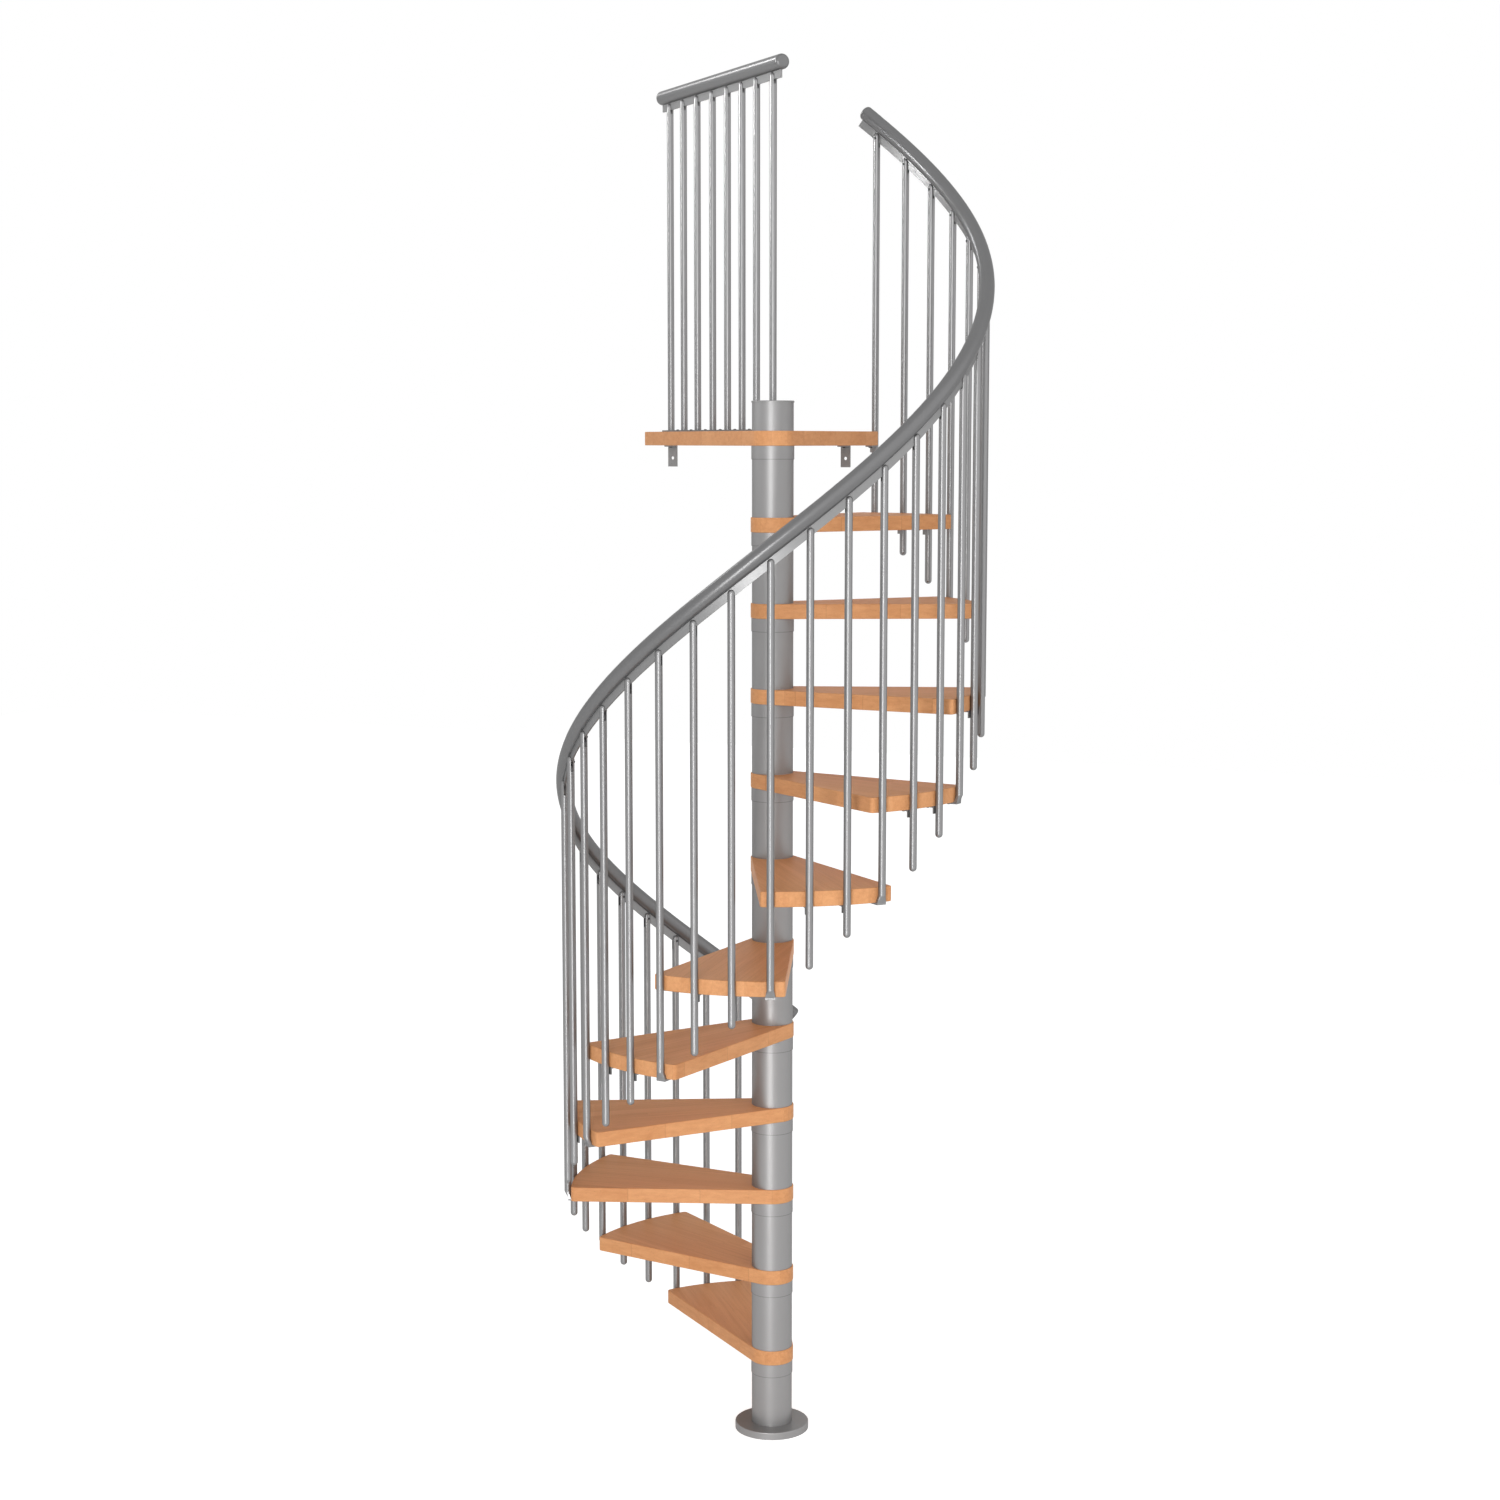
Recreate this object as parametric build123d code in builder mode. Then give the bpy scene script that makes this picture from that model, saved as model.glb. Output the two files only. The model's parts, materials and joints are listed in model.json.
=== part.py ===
# Spiral staircase: beech treads threaded on a steel column, slotted balusters and a helical handrail.
# Millimetres, +Z up. The column stands on the Z axis, its base plate lies on Z = 0,
# and the landing's straight back edge, which is fixed to the upper floor, runs along X.
import os
from math import acos, atan, cos, degrees, hypot, pi, radians, sin, tan

from build123d import *

os.makedirs("parts", exist_ok=True)

# Overall layout
stair_diameter = 1206.0
riser_height = 236.7
first_rise_height = 244.0
tread_count = 11
tread_turn_angle = 29.87
start_angle = 114.3
full_turn = 360.0
fit_gap = 0.3
cut_overrun_length = 6.0

# Column: base plate, core pole, spacer tubes, distance rings, head and cap
base_diameter = 210.0
base_thickness = 21.0
base_edge_radius = 3.0
pole_diameter = 48.0
column_diameter = 115.0
column_wall_thickness = 4.0
ring_diameter = 118.5
ring_height = 37.0
head_height = 77.0
cap_diameter = 118.5
cap_thickness = 5.0
cap_edge_radius = 2.0

# Treads
tread_thickness = 41.0
hub_diameter = 122.0
nosing_angle = 2.7
trailing_angle = 33.8
tread_corner_radius = 10.0
tread_edge_radius = 2.5

# Handrail tube, the fin below it and the end caps
rail_diameter = 42.0
rail_height = 1126.0
rail_lead_angle = 6.35
rail_overhang_angle = 3.25
fin_thickness = 5.0
fin_height = 21.0
groove_depth = 8.0
rail_cap_thickness = 12.0
rail_cap_edge_radius = 10.0

# Balusters: plain bars with round ends, and connectors with a flattened foot
bar_diameter = 20.0
bars_per_tread = 3
slot_spare_depth = 11.0
foot_width = 27.0
foot_thickness = 5.0
foot_length = 44.0
pressed_thickness = 9.0
pressed_height = 20.0

# Angle brackets that hold the plain bars under the treads
clip_width = 20.0
clip_thickness = 4.0
clip_height = 20.0
clip_length = 40.0

# Landing, its railing and its two floor brackets
landing_left_length = 690.0
landing_right_length = 89.0
landing_rail_angle = 139.4
landing_rail_distance = 33.0
landing_first_bar_distance = 69.0
landing_bar_span = 718.0
landing_bar_shares = (0.0, 0.15, 0.285, 0.424, 0.569, 0.721, 0.862, 1.0)
landing_rail_overhang_length = 52.0
landing_bar_height = 968.5
strip_width = 40.0
strip_thickness = 4.5
strip_lead_length = 11.0
strip_overhang_length = 24.0
wall_bracket_width = 30.0
wall_bracket_thickness = 4.0
wall_bracket_height = 64.0
wall_bracket_length = 30.0
wall_bracket_hole_diameter = 10.0
wall_bracket_hole_depth = 38.0
wall_bracket_inset_length = 105.0

# Sizes that follow from the driving dimensions
rail_radius = (stair_diameter - rail_diameter) / 2
tube_radius = rail_diameter / 2
bar_radius = bar_diameter / 2
bar_inside = rail_radius - bar_radius
tread_radius = bar_inside - fit_gap
hub_radius = hub_diameter / 2
column_radius = column_diameter / 2
column_bore = column_radius - column_wall_thickness
pole_radius = pole_diameter / 2
pole_bore = pole_radius + fit_gap
bar_turn = tread_turn_angle / bars_per_tread
turn_rise = riser_height * full_turn / tread_turn_angle
slope = atan(turn_rise / (2 * pi * rail_radius))
groove_width = fin_thickness + 2 * fit_gap
fin_lean = hypot(rail_radius, (tube_radius + fin_height) * sin(slope)) - rail_radius
slot_width = groove_width + 2 * fin_lean
landing_top = first_rise_height + tread_count * riser_height
landing_underside = landing_top - tread_thickness
last_bar_angle = start_angle + tread_count * tread_turn_angle
landing_back = rail_radius * sin(radians(last_bar_angle)) - bar_radius - fit_gap
standing = (Align.CENTER, Align.CENTER, Align.MIN)
hanging = (Align.CENTER, Align.CENTER, Align.MAX)


def polar(radius, angle, height=0):
    return Vector(radius * cos(radians(angle)), radius * sin(radians(angle)), height)


def turned(radius, angle, height):
    return Location(polar(radius, angle, height), (0, 0, angle))


def tread_top(number):
    return first_rise_height + (number - 1) * riser_height


def tread_underside(number):
    return tread_top(number) - tread_thickness


def pitch_height(angle):
    return first_rise_height - riser_height + riser_height * (angle - start_angle) / tread_turn_angle


# Height of a bar's top under the sloping handrail, and of the slot's floor under the fin
def bar_top(angle):
    drop = (tube_radius + bar_radius + fit_gap) / cos(slope) - bar_radius
    return pitch_height(angle) + rail_height - drop


def slot_floor(angle):
    drop = (tube_radius + fin_height) / cos(slope) + bar_radius * tan(slope) + slot_spare_depth
    return pitch_height(angle) + rail_height - drop


# Point where a side of a tread, drawn from its outer corner, touches the round hub
def hub_tangent(corner, side):
    turn = degrees(acos(hub_radius / corner.length))
    return corner.normalized().rotate(Axis.Z, side * turn) * hub_radius


def save(builder, name):
    builder.part.label = name
    export_step(builder.part, f"parts/{name}.step")


# Base plate
with BuildPart() as base_plate:
    Cylinder(base_diameter / 2, base_thickness, align=standing)
    fillet(base_plate.edges().group_by(Axis.Z)[-1], base_edge_radius)
save(base_plate, "base_plate")

# Core pole that everything on the column is threaded on
with BuildPart(Plane.XY.offset(base_thickness)) as core_pole:
    Cylinder(pole_radius, landing_top + head_height - base_thickness, align=standing)
save(core_pole, "core_pole")

# Spacer tubes, each standing on the plate or tread below and carrying a distance ring
for level in range(1, tread_count + 2):
    tube_foot = base_thickness if level == 1 else tread_top(level - 1)
    with BuildPart() as spacer_tube:
        with BuildSketch(Plane.XY.offset(tube_foot)):
            Circle(column_radius)
            Circle(column_bore, mode=Mode.SUBTRACT)
        extrude(amount=tread_underside(level) - ring_height - tube_foot)
    save(spacer_tube, f"spacer_tube_{level:02d}")

with BuildPart() as distance_rings:
    for level in range(1, tread_count + 2):
        with BuildSketch(Plane.XY.offset(tread_underside(level) - ring_height)):
            Circle(ring_diameter / 2)
            Circle(column_bore, mode=Mode.SUBTRACT)
        extrude(amount=ring_height)
save(distance_rings, "distance_rings")

# Head of the column above the landing, and its flat cap
with BuildPart() as column_head:
    with BuildSketch(Plane.XY.offset(landing_top)):
        Circle(column_radius)
        Circle(column_bore, mode=Mode.SUBTRACT)
    extrude(amount=head_height)
save(column_head, "column_head")

with BuildPart(Plane.XY.offset(landing_top + head_height)) as column_cap:
    Cylinder(cap_diameter / 2, cap_thickness, align=standing)
    fillet(column_cap.edges().group_by(Axis.Z)[-1], cap_edge_radius)
save(column_cap, "column_cap")

# Treads: a round hub with two tangent sides and an arc at the outer end
for number in range(1, tread_count + 1):
    nominal = start_angle + (number - 1) * tread_turn_angle
    nosing = polar(tread_radius, nominal - nosing_angle)
    trailing = polar(tread_radius, nominal + trailing_angle)
    middle = nominal + (trailing_angle - nosing_angle) / 2
    nosing_touch = hub_tangent(nosing, -1)
    trailing_touch = hub_tangent(trailing, 1)
    with BuildPart() as tread:
        with BuildSketch(Plane.XY.offset(tread_underside(number))) as plan:
            with BuildLine():
                Line(nosing_touch, nosing)
                ThreePointArc(nosing, polar(tread_radius, middle), trailing)
                Line(trailing, trailing_touch)
                ThreePointArc(trailing_touch, polar(hub_radius, middle + full_turn / 2), nosing_touch)
            make_face()
            fillet(plan.vertices().sort_by_distance((0, 0, 0))[-2:], tread_corner_radius)
            Circle(pole_bore, mode=Mode.SUBTRACT)
        extrude(amount=tread_thickness)
        fillet(tread.faces().sort_by(Axis.Z)[-1].outer_wire().edges(), tread_edge_radius)
        fillet(tread.faces().sort_by(Axis.Z)[0].outer_wire().edges(), tread_edge_radius)
    save(tread, f"tread_{number:02d}")

# Landing: a triangle between the column and the straight edge at the upper floor
landing_nosing = Vector(landing_right_length, landing_back)
landing_tip = Vector(-landing_left_length, landing_back)
landing_touch = hub_tangent(landing_nosing, -1)
landing_tip_touch = hub_tangent(landing_tip, 1)
landing_hub_back = (landing_touch + landing_tip_touch).normalized() * hub_radius
with BuildPart() as landing:
    with BuildSketch(Plane.XY.offset(landing_underside)) as plan:
        with BuildLine():
            Line(landing_touch, landing_nosing)
            Line(landing_nosing, landing_tip)
            Line(landing_tip, landing_tip_touch)
            ThreePointArc(landing_tip_touch, landing_hub_back, landing_touch)
        make_face()
        fillet(plan.vertices().sort_by_distance((0, 0, 0))[-2:], tread_corner_radius)
        Circle(pole_bore, mode=Mode.SUBTRACT)
    extrude(amount=tread_thickness)
    fillet(landing.faces().sort_by(Axis.Z)[-1].outer_wire().edges(), tread_edge_radius)
    fillet(landing.faces().sort_by(Axis.Z)[0].outer_wire().edges(), tread_edge_radius)
save(landing, "landing")


# Bars, added to the part that is being built
def add_slot(place, floor, top):
    with Locations(place * Location((0, 0, floor))):
        Box(slot_width, bar_diameter + cut_overrun_length, top - floor + cut_overrun_length, align=standing,
            mode=Mode.SUBTRACT)


def add_round_bar(angle, foot, top):
    with Locations(turned(rail_radius, angle, foot + bar_radius)):
        Cylinder(bar_radius, top - foot - bar_diameter, align=standing)
        Sphere(bar_radius)
    with Locations(turned(rail_radius, angle, top - bar_radius)):
        Sphere(bar_radius)
    add_slot(turned(rail_radius, angle, 0), slot_floor(angle), top)


# A connector's lower end is pressed towards the tread's edge and bent in under the tread
def add_connector(angle, seat, top):
    pressed_top = seat + pressed_height
    with Locations(turned(rail_radius, angle, pressed_top)):
        Cylinder(bar_radius, top - pressed_top - bar_radius, align=standing)
    with Locations(turned(rail_radius, angle, top - bar_radius)):
        Sphere(bar_radius)
    with BuildSketch(Plane(turned(rail_radius, angle, pressed_top))) as round_end:
        Circle(bar_radius)
    with BuildSketch(Plane(turned(bar_inside + pressed_thickness / 2, angle, seat))) as pressed_end:
        Rectangle(pressed_thickness, foot_width)
    loft([round_end.sketch, pressed_end.sketch])
    with Locations(turned(bar_inside + pressed_thickness, angle, seat)):
        Box(foot_length, foot_width, foot_thickness, align=(Align.MAX, Align.CENTER, Align.MAX))
    add_slot(turned(rail_radius, angle, 0), slot_floor(angle), top)


# Balusters of each tread: two plain bars and the connector to the tread above
for number in range(1, tread_count + 1):
    nominal = start_angle + (number - 1) * tread_turn_angle
    with BuildPart() as balusters:
        for step in range(1, bars_per_tread):
            angle = nominal + step * bar_turn
            foot = pitch_height(angle) - tread_thickness - foot_thickness
            add_round_bar(angle, foot, bar_top(angle))
        angle = nominal + tread_turn_angle
        add_connector(angle, tread_underside(number), bar_top(angle))
    save(balusters, f"balusters_{number:02d}")

# First bar of the railing, fixed under the first tread
with BuildPart() as baluster_start:
    add_connector(start_angle, tread_underside(1), bar_top(start_angle))
save(baluster_start, "baluster_start")

# Angle brackets between the plain bars and the undersides of the treads, and one under the landing
with BuildPart() as tread_clips:
    for number in range(1, tread_count + 1):
        for step in range(1, bars_per_tread):
            angle = start_angle + (number - 1) * tread_turn_angle + step * bar_turn
            with Locations(turned(tread_radius, angle, tread_underside(number))):
                Box(clip_thickness, clip_width, clip_height, align=(Align.MAX, Align.CENTER, Align.MAX))
                Box(clip_length, clip_width, clip_thickness, align=(Align.MAX, Align.CENTER, Align.MAX))
    with Locations((rail_radius * cos(radians(last_bar_angle)), landing_back, landing_underside)):
        Box(clip_width, clip_thickness, clip_height, align=(Align.CENTER, Align.MAX, Align.MAX))
        Box(clip_width, clip_length, clip_thickness, align=(Align.CENTER, Align.MAX, Align.MAX))
save(tread_clips, "tread_clips")

# Helical handrail tube with a groove, and the fin that stands in it
rail_span = rail_lead_angle + tread_count * tread_turn_angle + rail_overhang_angle
rail_first = start_angle - rail_lead_angle
rail_place = Location((0, 0, pitch_height(rail_first) + rail_height), (0, 0, rail_first))
with BuildLine() as rail_path:
    Helix(turn_rise, turn_rise * rail_span / full_turn, rail_radius)
rail_end = Plane(rail_path.line @ 0, x_dir=(-1, 0, 0), z_dir=rail_path.line % 0)
fin_top = groove_depth - fit_gap - tube_radius
fin_foot = -tube_radius - fin_height

with BuildPart() as rail_stock:
    with BuildSketch(rail_end):
        Circle(tube_radius)
        with Locations((0, groove_depth - tube_radius)):
            Rectangle(groove_width, groove_depth + cut_overrun_length, align=(Align.CENTER, Align.MAX),
                      mode=Mode.SUBTRACT)
    sweep(path=rail_path.line, is_frenet=True)
with BuildPart() as handrail:
    with Locations(rail_place):
        add(rail_stock.part)
save(handrail, "handrail")

with BuildPart() as fin_stock:
    with BuildSketch(rail_end):
        with Locations((0, fin_top)):
            Rectangle(fin_thickness, fin_top - fin_foot, align=(Align.CENTER, Align.MAX))
    sweep(path=rail_path.line, is_frenet=True)
with BuildPart() as handrail_fin:
    with Locations(rail_place):
        add(fin_stock.part)
save(handrail_fin, "handrail_fin")

# Straight handrail, fin, bars and foot strip on the landing, built along the railing's own X axis
railing = Plane(
    polar(landing_rail_distance, landing_rail_angle - full_turn / 4, landing_top)
    + polar(landing_first_bar_distance, landing_rail_angle),
    x_dir=polar(1, landing_rail_angle),
    z_dir=(0, 0, 1),
)
railing_axis = strip_thickness + landing_bar_height + fit_gap + tube_radius
railing_end = Plane(
    railing.from_local_coords(Vector(-landing_rail_overhang_length, 0, railing_axis)),
    x_dir=railing.y_dir,
    z_dir=railing.x_dir,
)
railing_length = landing_bar_span + 2 * landing_rail_overhang_length
with BuildPart() as landing_handrail:
    with BuildSketch(railing_end):
        Circle(tube_radius)
        with Locations((0, groove_depth - tube_radius)):
            Rectangle(groove_width, groove_depth + cut_overrun_length, align=(Align.CENTER, Align.MAX),
                      mode=Mode.SUBTRACT)
    extrude(amount=railing_length)
save(landing_handrail, "landing_handrail")

with BuildPart() as landing_fin:
    with BuildSketch(railing_end):
        with Locations((0, fin_top)):
            Rectangle(fin_thickness, fin_top - fin_foot, align=(Align.CENTER, Align.MAX))
    extrude(amount=railing_length)
save(landing_fin, "landing_fin")

with BuildPart(railing) as landing_strip:
    with Locations((-strip_lead_length, 0)):
        Box(strip_lead_length + landing_bar_span + strip_overhang_length, strip_width, strip_thickness,
            align=(Align.MIN, Align.CENTER, Align.MIN))
save(landing_strip, "landing_strip")

railing_slot_floor = railing_axis + fin_foot - slot_spare_depth
with BuildPart(railing) as landing_balusters:
    with Locations([(share * landing_bar_span, 0, strip_thickness) for share in landing_bar_shares]):
        Cylinder(bar_radius, landing_bar_height - bar_radius, align=standing)
    with Locations([(share * landing_bar_span, 0, strip_thickness + landing_bar_height - bar_radius)
                    for share in landing_bar_shares]):
        Sphere(bar_radius)
    with Locations([(share * landing_bar_span, 0, railing_slot_floor) for share in landing_bar_shares]):
        Box(bar_diameter + cut_overrun_length, slot_width, railing_axis - railing_slot_floor,
            align=standing, mode=Mode.SUBTRACT)
save(landing_balusters, "landing_balusters")

# Rounded end caps of both handrails
rail_finish = Plane(rail_path.line @ 1, x_dir=polar(1, rail_span), z_dir=rail_path.line % 1)
turned_over = Location((0, 0, 0), (full_turn / 2, 0, 0))
with BuildPart() as cap_stock:
    Cylinder(tube_radius, rail_cap_thickness, align=standing)
    fillet(cap_stock.edges().group_by(Axis.Z)[-1], rail_cap_edge_radius)
with BuildPart() as rail_caps:
    with Locations(rail_place * rail_end.location * turned_over,
                   rail_place * rail_finish.location,
                   railing_end.location * turned_over,
                   railing_end.offset(railing_length).location):
        add(cap_stock.part)
save(rail_caps, "rail_caps")

# Two angle brackets that fix the landing to the edge of the upper floor
bracket_hole_level = landing_underside - wall_bracket_hole_depth
with BuildPart() as wall_brackets:
    for place in (wall_bracket_inset_length - landing_left_length,
                  landing_right_length - wall_bracket_inset_length):
        with Locations((place, landing_back, landing_underside)):
            Box(wall_bracket_width, wall_bracket_thickness, wall_bracket_height,
                align=(Align.CENTER, Align.MAX, Align.MAX))
            Box(wall_bracket_width, wall_bracket_length, wall_bracket_thickness,
                align=(Align.CENTER, Align.MAX, Align.MAX))
        with Locations(Location((place, landing_back, bracket_hole_level), (full_turn / 4, 0, 0))):
            Cylinder(wall_bracket_hole_diameter / 2, wall_bracket_thickness + cut_overrun_length,
                     mode=Mode.SUBTRACT)
save(wall_brackets, "wall_brackets")
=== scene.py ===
import json
import math

import bmesh
import bpy
from mathutils import Matrix, Vector


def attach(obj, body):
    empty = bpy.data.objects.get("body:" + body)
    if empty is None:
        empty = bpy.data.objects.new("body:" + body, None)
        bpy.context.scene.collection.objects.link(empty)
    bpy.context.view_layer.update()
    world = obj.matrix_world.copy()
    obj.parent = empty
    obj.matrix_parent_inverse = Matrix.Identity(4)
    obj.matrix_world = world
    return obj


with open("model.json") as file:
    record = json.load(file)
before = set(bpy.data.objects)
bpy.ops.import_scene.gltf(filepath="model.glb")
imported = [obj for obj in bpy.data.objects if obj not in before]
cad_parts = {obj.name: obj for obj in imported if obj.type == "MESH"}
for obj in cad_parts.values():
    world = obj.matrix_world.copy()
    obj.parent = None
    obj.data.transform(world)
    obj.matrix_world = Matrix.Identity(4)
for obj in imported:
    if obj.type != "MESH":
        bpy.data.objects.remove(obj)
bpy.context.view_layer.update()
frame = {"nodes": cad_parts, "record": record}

nodes = frame["nodes"]
scene = bpy.context.scene
scene.view_settings.view_transform = "Standard"
print("frame loaded,", len(nodes), "nodes")

# how the stair is laid out, in metres and degrees
stair = {
    "treads": 11,
    "startAngle": 114.3,
    "treadTurn": 29.87,
    "barsPerTread": 3,
    "rise": 0.2367,
    "firstRise": 0.244,
    "treadThickness": 0.041,
    "treadMiddle": 15.55,  # from a tread's first bar to the middle of its board
    "ringJointShade": 0.0372,  # from a tread's underside down to the joint under its ring, where shade is painted on the ring
    "barRing": 0.582,
    "barRadius": 0.010,
    "railHeight": 1.126,
    "railRadius": 0.021,
    "finHeight": 0.021,
}
barTurn = stair["treadTurn"] / stair["barsPerTread"]
lastBar = stair["treads"] * stair["barsPerTread"]
landingTop = stair["firstRise"] + stair["treads"] * stair["rise"]
lastBarAngle = math.radians(stair["startAngle"] + lastBar * barTurn)
landingBack = stair["barRing"] * math.sin(lastBarAngle) - stair["barRadius"]
slope = math.atan(stair["rise"] / (math.radians(stair["treadTurn"]) * stair["barRing"]))


def treadUnderside(number):
    return stair["firstRise"] + (number - 1) * stair["rise"] - stair["treadThickness"]


def pitchHeight(angle):
    climb = stair["rise"] * (angle - stair["startAngle"]) / stair["treadTurn"]
    return stair["firstRise"] - stair["rise"] + climb


# a place on the ring of bars, its X axis pointing away from the column
def ringPlace(radius, angle, height):
    return Matrix.Rotation(math.radians(angle), 4, "Z") @ Matrix.Translation((radius, 0, height))


# the photograph's viewpoint, seen from the column, in metres and degrees, with the lens in millimetres
viewpoint = {
    "turn": 24.0,
    "distance": 7.0531,
    "height": 2.819,
    "pitch": 6.914,
    "yaw": 0.51,
    "lens": 61.10,
    "sensor": 36.0,
    "reach": 60.0,
}


def aimCamera(view):
    camera = bpy.data.cameras.new("photoCamera")
    camera.lens = view["lens"]
    camera.sensor_width = view["sensor"]
    camera.clip_end = view["reach"]
    holder = bpy.data.objects.new("photoCamera", camera)
    scene.collection.objects.link(holder)
    turn = math.radians(view["turn"])
    holder.location = (view["distance"] * math.sin(turn), -view["distance"] * math.cos(turn), view["height"])
    holder.rotation_euler = (math.radians(90 - view["pitch"]), 0, math.radians(view["turn"] + view["yaw"]))
    scene.camera = holder


aimCamera(viewpoint)
print("camera placed")


# short ways to wire a node tree: a socket is linked, anything else is set
def feed(tree, socket, value):
    if isinstance(value, bpy.types.NodeSocket):
        tree.links.new(value, socket)
    else:
        socket.default_value = value


def mathNode(tree, operation, *values):
    node = tree.nodes.new("ShaderNodeMath")
    node.operation = operation
    for socket, value in zip(node.inputs, values):
        feed(tree, socket, value)
    return node.outputs[0]


def vectorNode(tree, operation, first, second):
    node = tree.nodes.new("ShaderNodeVectorMath")
    node.operation = operation
    feed(tree, node.inputs[0], first)
    feed(tree, node.inputs["Scale"] if operation == "SCALE" else node.inputs[1], second)
    return node.outputs[0]


def noiseNode(tree, vector, scale, detail, distortion=0.0):
    node = tree.nodes.new("ShaderNodeTexNoise")
    feed(tree, node.inputs["Vector"], vector)
    feed(tree, node.inputs["Scale"], scale)
    feed(tree, node.inputs["Detail"], detail)
    feed(tree, node.inputs["Distortion"], distortion)
    return node.outputs[0]


def rampNode(tree, value, low, high):
    node = tree.nodes.new("ShaderNodeMapRange")
    feed(tree, node.inputs["Value"], value)
    node.inputs["From Min"].default_value = low
    node.inputs["From Max"].default_value = high
    return node.outputs[0]


# a Mix node has a set of sockets for each kind of value: 6, 7 and output 2 are the colours
def mixNode(tree, blend, factor, first, second):
    node = tree.nodes.new("ShaderNodeMix")
    node.data_type = "RGBA"
    node.blend_type = blend
    feed(tree, node.inputs[0], factor)
    feed(tree, node.inputs[6], first)
    feed(tree, node.inputs[7], second)
    return node.outputs[2]


def newGroup(name, inputs, outputs):
    group = bpy.data.node_groups.new(name, "ShaderNodeTree")
    for label, kind in inputs:
        group.interface.new_socket(label, in_out="INPUT", socket_type=kind)
    for label, kind in outputs:
        group.interface.new_socket(label, in_out="OUTPUT", socket_type=kind)
    return group, group.nodes.new("NodeGroupInput").outputs, group.nodes.new("NodeGroupOutput").inputs


surfaceOutputs = [
    ("Color", "NodeSocketColor"),
    ("Roughness", "NodeSocketFloat"),
    ("Height", "NodeSocketFloat"),
]


# the wood's patterns, with their repeats in a metre along and across a stave, and how much each one counts
beechGrain = {
    "figure": {"repeat": (1.6, 26.0, 26.0), "detail": 2.0, "distortion": 0.4, "tone": 0.55},
    "streaks": {"repeat": (2.2, 105.0, 105.0), "detail": 3.0, "distortion": 0.3, "tone": 0.95},
    "pores": {"repeat": (9.0, 240.0, 240.0), "detail": 2.0, "distortion": 0.0, "tone": 0.55},
    "flecks": {"repeat": (120.0, 900.0, 900.0), "detail": 1.0, "distortion": 0.0},
    "fleckRange": (0.60, 0.72),
    "fleckShare": 0.28,
    "fleckTint": (0.55, 0.42, 0.32, 1),
    "fleckDepth": 0.5,
    "staveTone": 0.30,
    "staveShift": 7.3,
    "baseTone": -0.63,
    "sideSeam": 0.494,  # where a seam starts, in stave widths from the middle of a stave
    "endSeam": 0.4997,  # the same in stave lengths
    "seamShare": 0.45,
    "seamTint": (0.50, 0.40, 0.32, 1),
    "glossBase": 0.44,
    "glossSpread": 0.16,
}


def grainNode(tree, vector, pattern):
    stretched = vectorNode(tree, "MULTIPLY", vector, pattern["repeat"])
    return noiseNode(tree, stretched, 1.0, pattern["detail"], pattern["distortion"])


def seamLine(tree, place, start):
    middle = mathNode(tree, "ABSOLUTE", mathNode(tree, "SUBTRACT", mathNode(tree, "FRACT", place), 0.5))
    return rampNode(tree, middle, start, 0.5)


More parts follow.
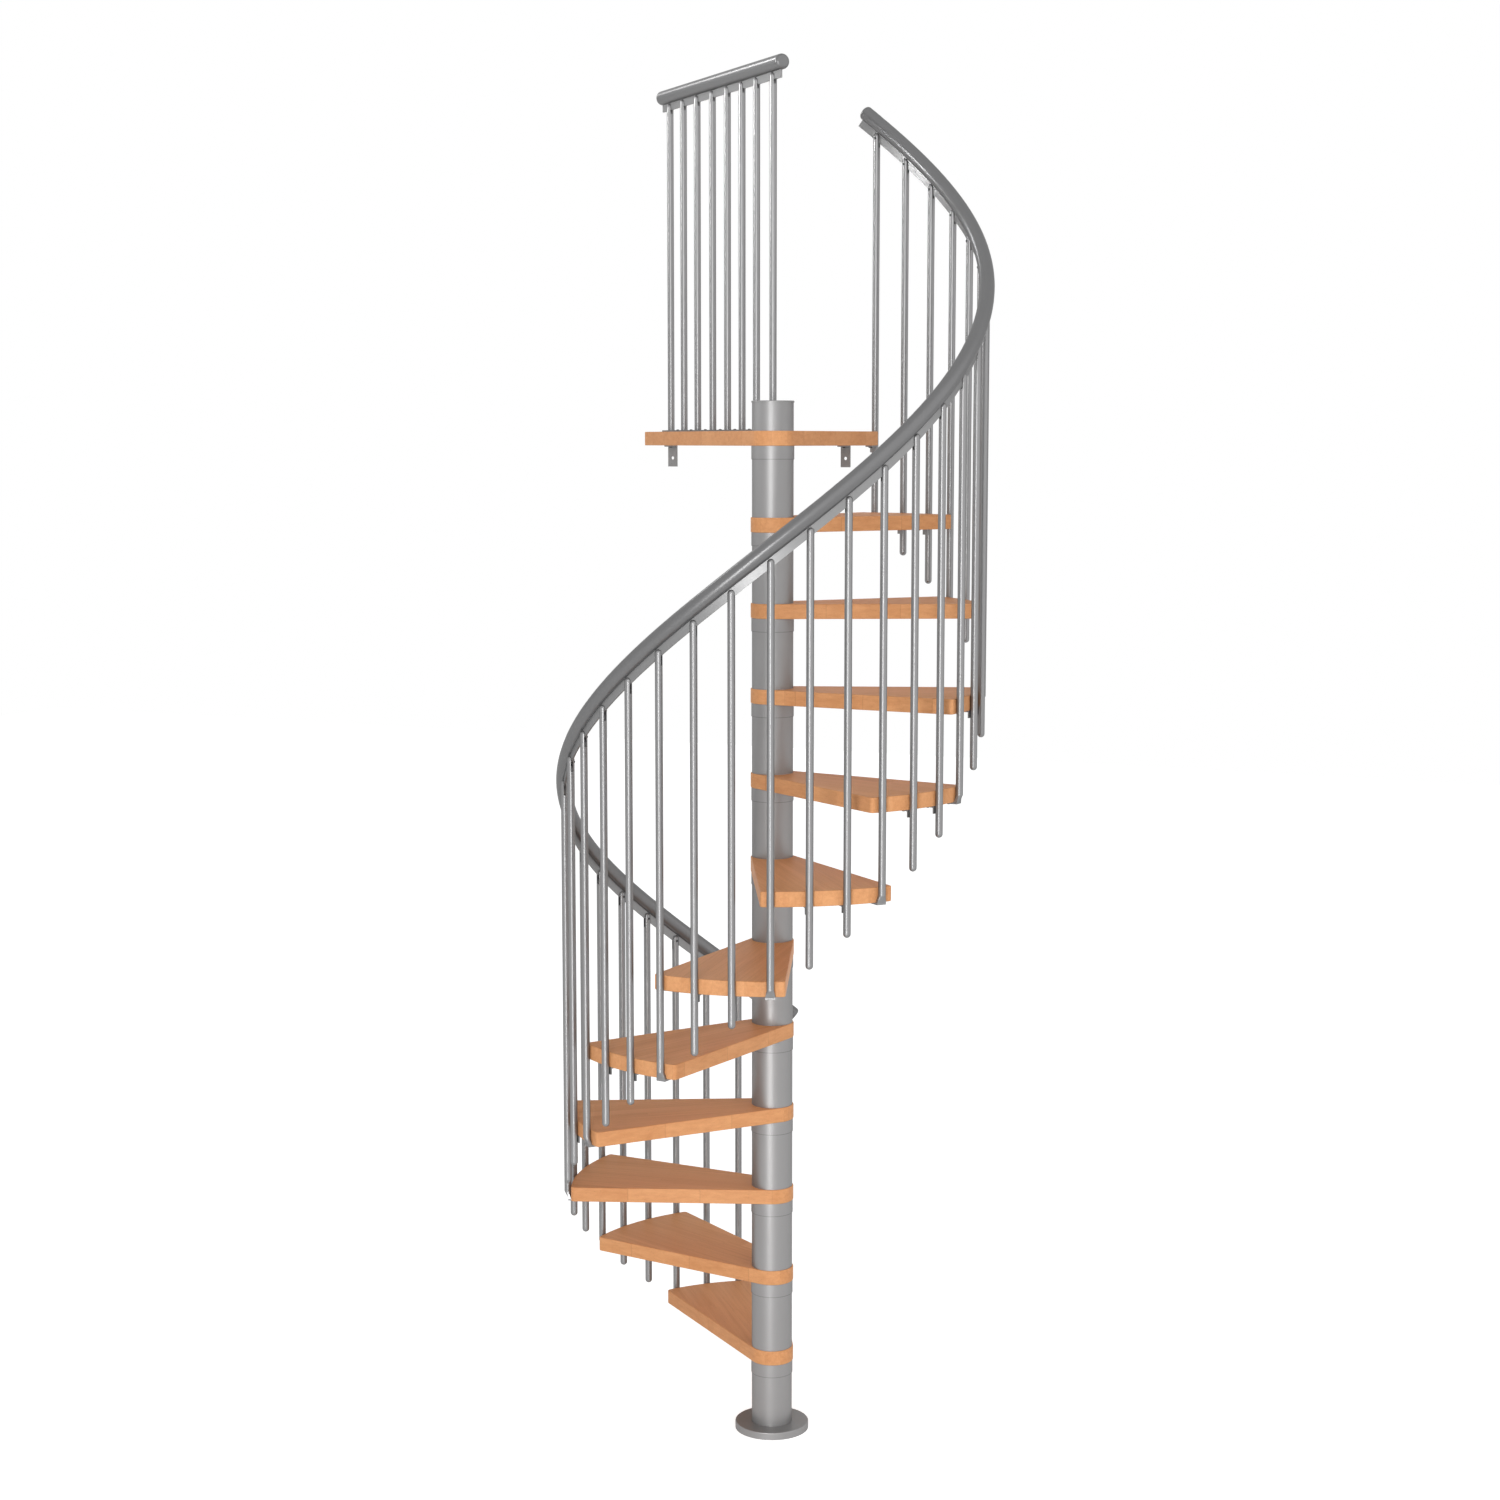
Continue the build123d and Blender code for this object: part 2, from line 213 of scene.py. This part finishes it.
# glued beech: staves along X, each with its own tone, fine pores and short dark flecks
def beechGroup(grain):
    group, given, result = newGroup("beechStaves", [
        ("Vector", "NodeSocketVector"), ("Light Wood", "NodeSocketColor"), ("Dark Wood", "NodeSocketColor"),
        ("Stave Width", "NodeSocketFloat"), ("Stave Length", "NodeSocketFloat"),
    ], surfaceOutputs)
    split = group.nodes.new("ShaderNodeSeparateXYZ")
    group.links.new(given["Vector"], split.inputs[0])
    across = mathNode(group, "DIVIDE", split.outputs["Y"], given["Stave Width"])
    row = mathNode(group, "FLOOR", across)
    rowNoise = group.nodes.new("ShaderNodeTexWhiteNoise")
    rowNoise.noise_dimensions = "1D"
    group.links.new(row, rowNoise.inputs["W"])
    along = mathNode(group, "ADD", mathNode(group, "DIVIDE", split.outputs["X"], given["Stave Length"]),
                     rowNoise.outputs["Value"])
    cell = group.nodes.new("ShaderNodeCombineXYZ")
    group.links.new(row, cell.inputs["X"])
    group.links.new(mathNode(group, "FLOOR", along), cell.inputs["Y"])
    stave = group.nodes.new("ShaderNodeTexWhiteNoise")
    group.links.new(cell.outputs[0], stave.inputs["Vector"])
    shift = vectorNode(group, "SCALE", stave.outputs["Color"], grain["staveShift"])
    moved = vectorNode(group, "ADD", given["Vector"], shift)
    figure = grainNode(group, moved, grain["figure"])
    streaks = grainNode(group, moved, grain["streaks"])
    pores = grainNode(group, moved, grain["pores"])
    flecks = rampNode(group, grainNode(group, moved, grain["flecks"]), *grain["fleckRange"])
    seams = mathNode(group, "MAXIMUM", seamLine(group, across, grain["sideSeam"]),
                     seamLine(group, along, grain["endSeam"]))
    tone = mathNode(group, "MULTIPLY_ADD", stave.outputs["Value"], grain["staveTone"], grain["baseTone"])
    tone = mathNode(group, "MULTIPLY_ADD", figure, grain["figure"]["tone"], tone)
    tone = mathNode(group, "MULTIPLY_ADD", streaks, grain["streaks"]["tone"], tone)
    tone = mathNode(group, "MULTIPLY_ADD", pores, grain["pores"]["tone"], tone)
    tone = mathNode(group, "MINIMUM", mathNode(group, "MAXIMUM", tone, 0.0), 1.0)
    wood = mixNode(group, "MIX", tone, given["Dark Wood"], given["Light Wood"])
    fleckShare = mathNode(group, "MULTIPLY", flecks, grain["fleckShare"])
    wood = mixNode(group, "MULTIPLY", fleckShare, wood, grain["fleckTint"])
    seamShare = mathNode(group, "MULTIPLY", seams, grain["seamShare"])
    wood = mixNode(group, "MULTIPLY", seamShare, wood, grain["seamTint"])
    group.links.new(wood, result["Color"])
    gloss = mathNode(group, "MULTIPLY_ADD", pores, grain["glossSpread"], grain["glossBase"])
    group.links.new(gloss, result["Roughness"])
    relief = mathNode(group, "SUBTRACT", pores, mathNode(group, "MULTIPLY", flecks, grain["fleckDepth"]))
    group.links.new(mathNode(group, "SUBTRACT", relief, seams), result["Height"])
    return group


# the paint's patterns, with their repeats in a metre
sprayPattern = {
    "cloud": {"scale": 13.0, "detail": 3.0},
    "flakes": {"scale": 1900.0, "detail": 1.0},
    "marks": {"scale": 46.0, "detail": 4.0, "distortion": 0.8},
    "peel": {"scale": 420.0, "detail": 2.0},
}


# sprayed paint: uneven tone, metal flakes, orange peel and faint handling marks in the gloss
def paintGroup(pattern):
    group, given, result = newGroup("sprayedPaint", [
        ("Vector", "NodeSocketVector"), ("Paint", "NodeSocketColor"), ("Cloud", "NodeSocketFloat"),
        ("Flake", "NodeSocketFloat"), ("Gloss Base", "NodeSocketFloat"), ("Gloss Spread", "NodeSocketFloat"),
    ], surfaceOutputs)

    def unevenness(name):
        return mathNode(group, "SUBTRACT", noiseNode(group, given["Vector"], **pattern[name]), 0.5)

    tone = mathNode(group, "MULTIPLY_ADD", unevenness("cloud"), given["Cloud"], 1.0)
    tone = mathNode(group, "MULTIPLY_ADD", unevenness("flakes"), given["Flake"], tone)
    group.links.new(vectorNode(group, "SCALE", given["Paint"], tone), result["Color"])
    gloss = mathNode(group, "MULTIPLY_ADD", unevenness("marks"), given["Gloss Spread"], given["Gloss Base"])
    group.links.new(gloss, result["Roughness"])
    group.links.new(noiseNode(group, given["Vector"], **pattern["peel"]), result["Height"])
    return group


# a material whose pattern comes from a node group, and whose shine is its own
def surfaceMaterial(name, group, finish, mapping=None):
    shine = finish["shine"]
    material = bpy.data.materials.new(name)
    material.use_nodes = True
    tree = material.node_tree
    shader = tree.nodes["Principled BSDF"]
    vector = tree.nodes.new("ShaderNodeTexCoord").outputs["Object"]
    if mapping:
        turn = tree.nodes.new("ShaderNodeMapping")
        turn.inputs["Rotation"].default_value = (0, 0, math.radians(-mapping["angle"]))
        turn.inputs["Location"].default_value = mapping["shift"]
        tree.links.new(vector, turn.inputs["Vector"])
        vector = turn.outputs[0]
    surface = tree.nodes.new("ShaderNodeGroup")
    surface.node_tree = group
    tree.links.new(vector, surface.inputs["Vector"])
    for label, value in finish["values"].items():
        surface.inputs[label].default_value = value
    tree.links.new(surface.outputs["Color"], shader.inputs["Base Color"])
    tree.links.new(surface.outputs["Roughness"], shader.inputs["Roughness"])
    bump = tree.nodes.new("ShaderNodeBump")
    bump.inputs["Strength"].default_value = shine["bump"]
    bump.inputs["Distance"].default_value = shine["depth"]
    tree.links.new(surface.outputs["Height"], bump.inputs["Height"])
    tree.links.new(bump.outputs[0], shader.inputs["Normal"])
    shader.inputs["Metallic"].default_value = shine["metallic"]
    shader.inputs["Specular IOR Level"].default_value = shine["specular"]
    shader.inputs["Specular Tint"].default_value = (shine["edge"],) * 3 + (1,)
    return material


# lacquered beech of the treads and the landing
beech = {
    "values": {
        "Light Wood": (0.87, 0.440, 0.205, 1),
        "Dark Wood": (0.66, 0.285, 0.115, 1),
        "Stave Width": 0.043,
        "Stave Length": 1.3,
    },
    "shine": {"metallic": 0.0, "specular": 0.14, "edge": 1.0, "bump": 0.25, "depth": 0.0004},
}
# painted steel, by the record's slots
columnPaint = {
    "values": {"Paint": (0.30, 0.296, 0.296, 1), "Cloud": 0.05, "Flake": 0.05,
               "Gloss Base": 0.44, "Gloss Spread": 0.06},
    "shine": {"metallic": 0.62, "specular": 0.5, "edge": 0.4, "bump": 0.06, "depth": 0.0003},
}
barPaint = {
    "values": {"Paint": (0.254, 0.253, 0.255, 1), "Cloud": 0.03, "Flake": 0.03,
               "Gloss Base": 0.355, "Gloss Spread": 0.03},
    "shine": {"metallic": 0.76, "specular": 0.5, "edge": 0.4, "bump": 0.01, "depth": 0.0001},
}
railPaint = {
    "values": {"Paint": (0.178, 0.178, 0.18, 1), "Cloud": 0.06, "Flake": 0.05,
               "Gloss Base": 0.31, "Gloss Spread": 0.08},
    "shine": {"metallic": 0.5, "specular": 0.5, "edge": 0.4, "bump": 0.06, "depth": 0.0002},
}
fittingPaint = {
    "values": {"Paint": (0.26, 0.26, 0.261, 1), "Cloud": 0.06, "Flake": 0.05,
               "Gloss Base": 0.40, "Gloss Spread": 0.08},
    "shine": {"metallic": 0.62, "specular": 0.5, "edge": 0.4, "bump": 0.06, "depth": 0.0002},
}
# near-black steel of the screws; on the fin the dark heads are partly painted shade, standing in for the
# shadow in the screw holes
screwSteel = {
    "values": {"Paint": (0.045, 0.045, 0.048, 1), "Cloud": 0.10, "Flake": 0.05,
               "Gloss Base": 0.36, "Gloss Spread": 0.10},
    "shine": {"metallic": 0.5, "specular": 0.5, "edge": 0.4, "bump": 0.06, "depth": 0.0001},
}
staves = beechGroup(beechGrain)
spray = paintGroup(sprayPattern)
slotPaints = {
    "column_paint": surfaceMaterial("columnPaint", spray, columnPaint),
    "bar_metal": surfaceMaterial("barPaint", spray, barPaint),
    "rail_grey": surfaceMaterial("railPaint", spray, railPaint),
    "fitting_metal": surfaceMaterial("fittingPaint", spray, fittingPaint),
}
screwFinish = surfaceMaterial("screwSteel", spray, screwSteel)


# painted shade along the lower edge of every ring of the column, where the joint lies in shadow
ringJointShade = {
    "level": treadUnderside(1) - stair["ringJointShade"],
    "pitch": stair["rise"],
    "width": 0.0022,
    "tone": (0.38, 0.37, 0.37, 1),
}


# darkens the paint in a thin band just above each joint, repeated at every rise: painted shade
def addJointShade(material, jointShade):
    tree = material.node_tree
    target = tree.nodes["Principled BSDF"].inputs["Base Color"]
    paint = target.links[0].from_socket
    split = tree.nodes.new("ShaderNodeSeparateXYZ")
    tree.links.new(tree.nodes.new("ShaderNodeTexCoord").outputs["Object"], split.inputs[0])
    rise = mathNode(tree, "SUBTRACT", split.outputs["Z"], jointShade["level"])
    above = mathNode(tree, "FRACT", mathNode(tree, "DIVIDE", rise, jointShade["pitch"]))
    shadeBand = rampNode(tree, above, jointShade["width"] / jointShade["pitch"], 0.0)
    tree.links.new(mixNode(tree, "MULTIPLY", shadeBand, paint, jointShade["tone"]), target)
    return material


ringFinish = addJointShade(surfaceMaterial("ringPaint", spray, columnPaint), ringJointShade)


# the grain of each board runs out from the column, and no two boards show the same staves
boardGrain = {"landingAngle": 112.0, "landingShift": (3.1, 0.73, 0.4), "treadShift": (0.37, 0.611, -0.2)}


def boardMapping(name, settings):
    if name == "landing":
        return {"angle": settings["landingAngle"], "shift": settings["landingShift"]}
    number = int(name[-2:])
    angle = stair["startAngle"] + (number - 1) * stair["treadTurn"] + stair["treadMiddle"]
    return {"angle": angle, "shift": [step * number for step in settings["treadShift"]]}


for subpart in frame["record"]["subparts"]:
    name, slot = subpart["node"], subpart["material_slot"]
    if slot == "beech":
        finish = surfaceMaterial("beech_" + name, staves, beech, boardMapping(name, boardGrain))
    else:
        finish = ringFinish if name == "distance_rings" else slotPaints[slot]
    nodes[name].data.materials.clear()
    nodes[name].data.materials.append(finish)
print("finishes assigned")

# pan-head screws: profile as shares of the head's radius and height, from the socket's floor to the rim
screwHead = {
    "profile": [(0.0, 0.35), (0.42, 0.35), (0.46, 0.95), (0.60, 1.0), (0.86, 0.72), (1.0, 0.30), (1.0, -0.2)],
    "sides": 18,
    "weld": 1e-5,
}


def screwShape(settings):
    shape = bmesh.new()
    points = [shape.verts.new((across, 0, up)) for across, up in settings["profile"]]
    edges = [shape.edges.new(pair) for pair in zip(points, points[1:])]
    bmesh.ops.spin(shape, geom=points + edges, cent=(0, 0, 0), axis=(0, 0, 1), angle=math.tau,
                   steps=settings["sides"], use_merge=True, use_duplicate=False)
    bmesh.ops.remove_doubles(shape, verts=shape.verts, dist=settings["weld"])
    bmesh.ops.recalc_face_normals(shape, faces=shape.faces)
    mesh = bpy.data.meshes.new("screwShape")
    shape.to_mesh(mesh)
    shape.free()
    return mesh


screwMesh = screwShape(screwHead)


# one piece that holds all the screws of a kind, each with its head along the Z axis of its place
def screwPiece(name, settings, places):
    size = Matrix.Diagonal((settings["radius"], settings["radius"], settings["height"], 1))
    rows = bmesh.new()
    for place in places:
        start = len(rows.verts)
        rows.from_mesh(screwMesh)
        rows.verts.ensure_lookup_table()
        bmesh.ops.transform(rows, matrix=place @ size, verts=rows.verts[start:])
    mesh = bpy.data.meshes.new(name)
    rows.to_mesh(mesh)
    rows.free()
    mesh.shade_smooth()
    piece = bpy.data.objects.new(name, mesh)
    scene.collection.objects.link(piece)
    piece.data.materials.append(screwFinish)
    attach(piece, "root")


# the landing's straight railing, its X axis along the strip
railing = {
    "angle": 139.4,
    "offset": 0.033,
    "firstBar": 0.069,
    "span": 0.718,
    "shares": (0.0, 0.15, 0.285, 0.424, 0.569, 0.721, 0.862, 1.0),
    "barHeight": 0.973,  # from the board to a bar's top
    "strip": 0.0045,
}
railingTurn = Matrix.Rotation(math.radians(railing["angle"]), 4, "Z")
railingPlace = (Matrix.Translation((0, 0, landingTop)) @ railingTurn
                @ Matrix.Translation((railing["firstBar"], -railing["offset"], 0)))

# screws through the inner prong of each bar into the fin
finScrews = {"radius": 0.0034, "height": 0.0016, "finShare": 0.75}


def finScrewPlaces(settings):
    drop = settings["finShare"] * stair["finHeight"]
    towardColumn = Matrix.Rotation(math.radians(-90), 4, "Y")
    for index in range(lastBar + 1):
        angle = stair["startAngle"] + index * barTurn
        height = pitchHeight(angle) + stair["railHeight"] - (stair["railRadius"] + drop) / math.cos(slope)
        yield ringPlace(stair["barRing"] - stair["barRadius"], angle, height) @ towardColumn
    sideways = Matrix.Rotation(math.radians(90), 4, "X")
    for share in railing["shares"]:
        place = (share * railing["span"], -stair["barRadius"], railing["barHeight"] - drop)
        yield railingPlace @ Matrix.Translation(place) @ sideways


screwPiece("fin_screws", finScrews, finScrewPlaces(finScrews))

# screws under the clips, the connectors' bent feet and the landing's brackets,
# each with the thickness of its plate and its place inwards, on the landing after its place across
underScrews = {
    "radius": 0.0055,
    "height": 0.0030,
    "clip": (0.004, 0.038),
    "foot": (0.005, 0.032),
    "landing": [(-0.585, 0.004, 0.017), (-0.016, 0.004, 0.017), (0.072, 0.004, 0.028)],
}


def underScrewPlaces(settings):
    over = Matrix.Rotation(math.pi, 4, "X")
    for index in range(lastBar + 1):
        angle = stair["startAngle"] + index * barTurn
        number = max(1, math.ceil(index / stair["barsPerTread"]))
        depth, inward = settings["clip" if index % stair["barsPerTread"] else "foot"]
        yield ringPlace(stair["barRing"] - inward, angle, treadUnderside(number) - depth) @ over
    for across, depth, inward in settings["landing"]:
        place = (across, landingBack - inward, landingTop - stair["treadThickness"] - depth)
        yield Matrix.Translation(place) @ over


screwPiece("under_screws", underScrews, underScrewPlaces(underScrews))

# screws that hold the strip to the landing, one between every two bars
stripScrews = {"radius": 0.0045, "height": 0.0022}


def stripScrewPlaces():
    for first, second in zip(railing["shares"], railing["shares"][1:]):
        along = (first + second) / 2 * railing["span"]
        yield railingPlace @ Matrix.Translation((along, 0, railing["strip"]))


screwPiece("strip_screws", stripScrews, stripScrewPlaces())
print("screws added")

# white floor and surroundings, lit from the front left and softly from the right
studio = {
    "floorSize": 30.0,
    "floorTone": 0.8,
    "floorGlow": 0.70,
    "ambient": 0.42,
}
# a tall narrow softbox to the left of the camera, in metres, watts and degrees
keyLamp = {"azimuth": -78.0, "elevation": 0.0, "distance": 8.0, "aim": 2.3, "width": 1.7, "length": 4.4,
           "beam": 180.0, "strength": 246.0, "lightsAll": True}
# a softbox with a narrow beam that glances off the top of the railings from the left
railLamp = {"azimuth": -158.0, "elevation": 0.0, "distance": 6.0, "aim": 4.8, "width": 1.3, "length": 1.4,
            "beam": 34.0, "strength": 15.0, "lightsAll": True}
# a softbox behind the stair, to the left, that draws a streak along the rails
rimLamp = {"azimuth": 160.0, "elevation": 23.0, "distance": 6.0, "aim": 3.8, "width": 0.6, "length": 0.6,
           "beam": 34.0, "strength": 2.2, "lightsAll": True}
# a low softbox that only adds a sheen to the foot of the column
lowLamp = {"azimuth": -78.0, "elevation": 0.0, "distance": 3.0, "aim": 0.5, "width": 0.5, "length": 0.9,
           "beam": 60.0, "strength": 2.2, "lightsAll": False}
# a broad soft light from the right
fillLamp = {"azimuth": -26.0, "elevation": 14.0, "distance": 8.0, "spread": 110.0, "strength": 1.12}


# 1 for rays from the camera, a reflection or a clear body, which see plain white
def seenRays(tree):
    path = tree.nodes.new("ShaderNodeLightPath")
    seen = mathNode(tree, "MAXIMUM", path.outputs["Is Camera Ray"], path.outputs["Is Glossy Ray"])
    return mathNode(tree, "MAXIMUM", seen, path.outputs["Is Transmission Ray"])


def makeFloor(settings):
    mesh = bpy.data.meshes.new("floor")
    sheet = bmesh.new()
    bmesh.ops.create_grid(sheet, x_segments=1, y_segments=1, size=settings["floorSize"] / 2)
    sheet.to_mesh(mesh)
    sheet.free()
    floor = bpy.data.objects.new("floor", mesh)
    scene.collection.objects.link(floor)
    material = bpy.data.materials.new("floorWhite")
    material.use_nodes = True
    tree = material.node_tree
    shader = tree.nodes["Principled BSDF"]
    shader.inputs["Base Color"].default_value = (settings["floorTone"],) * 3 + (1,)
    shader.inputs["Roughness"].default_value = 1.0
    shader.inputs["Specular IOR Level"].default_value = 0.0
    shader.inputs["Emission Color"].default_value = (1, 1, 1, 1)
    tree.links.new(mathNode(tree, "MULTIPLY", seenRays(tree), settings["floorGlow"]),
                   shader.inputs["Emission Strength"])
    floor.data.materials.append(material)


def makeWorld(settings):
    world = bpy.data.worlds.new("studio")
    scene.world = world
    world.use_nodes = True
    tree = world.node_tree
    background = tree.nodes["Background"]
    background.inputs["Color"].default_value = (1, 1, 1, 1)
    strength = mathNode(tree, "MULTIPLY_ADD", seenRays(tree), 1.0 - settings["ambient"], settings["ambient"])
    tree.links.new(strength, background.inputs["Strength"])


# towards a lamp, seen from the column
def lampDirection(azimuth, elevation):
    turn, rise = math.radians(azimuth), math.radians(elevation)
    return Vector((math.cos(turn) * math.cos(rise), math.sin(turn) * math.cos(rise), math.sin(rise)))


def placeLamp(name, lamp, place, direction):
    holder = bpy.data.objects.new(name, lamp)
    scene.collection.objects.link(holder)
    holder.location = place
    holder.rotation_euler = direction.to_track_quat("Z", "Y").to_euler()
    return holder


def makeSoftbox(name, settings):
    lamp = bpy.data.lights.new(name, "AREA")
    lamp.shape = "RECTANGLE"
    lamp.size, lamp.size_y = settings["width"], settings["length"]
    lamp.energy = settings["strength"]
    lamp.spread = math.radians(settings["beam"])
    direction = lampDirection(settings["azimuth"], settings["elevation"])
    place = direction * settings["distance"] + Vector((0, 0, settings["aim"]))
    placeLamp(name, lamp, place, direction).visible_diffuse = settings["lightsAll"]


def makeSun(name, settings):
    lamp = bpy.data.lights.new(name, "SUN")
    lamp.energy = settings["strength"]
    lamp.angle = math.radians(settings["spread"])
    direction = lampDirection(settings["azimuth"], settings["elevation"])
    placeLamp(name, lamp, direction * settings["distance"], direction)


makeFloor(studio)
makeWorld(studio)
makeSoftbox("keyLamp", keyLamp)
makeSoftbox("railLamp", railLamp)
makeSoftbox("rimLamp", rimLamp)
makeSoftbox("lowLamp", lowLamp)
makeSun("fillLamp", fillLamp)
print("studio lit")
